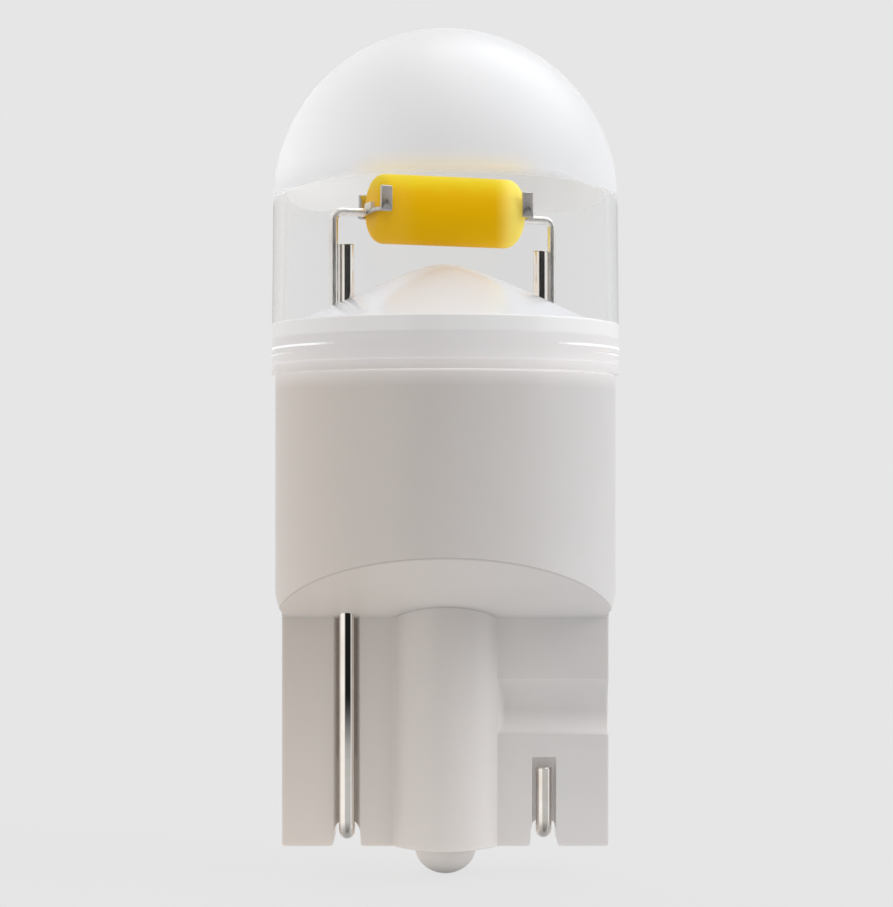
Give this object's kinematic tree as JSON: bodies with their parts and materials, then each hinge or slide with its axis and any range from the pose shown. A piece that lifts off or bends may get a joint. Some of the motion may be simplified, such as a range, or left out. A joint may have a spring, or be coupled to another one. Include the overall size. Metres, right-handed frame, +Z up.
{
  "type": "wedge base led bulb",
  "caption": "Small wedge base LED bulb: white housing with a flat blade and wire contacts, bell reflector, yellow light source on wires, clear cap with frosted top.",
  "frame": {"origin": "lowest point of the foot pip, on the bulb's long axis", "axes": "+Z up along the bulb's axis from the pip to the cap's top, -Y towards the front, +X to the right, along the blade's width"},
  "size_m": [0.0102, 0.0102, 0.0248],
  "materials": {
    "clear_cap": "clear sleeve, finely frosted round top",
    "white_moulding": "satin moulded",
    "white_reflector": "smooth moulded",
    "plated_wire": "polished plating",
    "clip_metal": "smooth stamped",
    "phosphor": "satin moulded silicone",
    "ceramic": "sintered",
    "chip_die": "polished",
    "board_green": "solder mask",
    "package_black": "moulded epoxy",
    "solder": "bright solder"
  },
  "bodies": {
    "root": {"dome_lens": "clear_cap", "wedge_housing": "white_moulding", "reflector_insert": "white_reflector", "contact_wire_left": "plated_wire", "contact_wire_right": "plated_wire", "lead_wire_left": "plated_wire", "lead_wire_right": "plated_wire", "end_clip_left": "clip_metal", "end_clip_right": "clip_metal", "phosphor_capsule": "phosphor", "led_substrate": "ceramic", "led_chip_1": "chip_die", "led_chip_2": "chip_die", "led_chip_3": "chip_die", "led_chip_4": "chip_die", "driver_board": "board_green", "driver_chip": "package_black", "bridge_rectifier": "package_black", "filter_capacitor": "ceramic", "surge_diode": "package_black", "sense_resistor_1": "package_black", "sense_resistor_2": "package_black", "contact_solder_left": "solder", "contact_solder_right": "solder", "lead_solder_left": "solder", "lead_solder_right": "solder"}
  },
  "joints": []
}
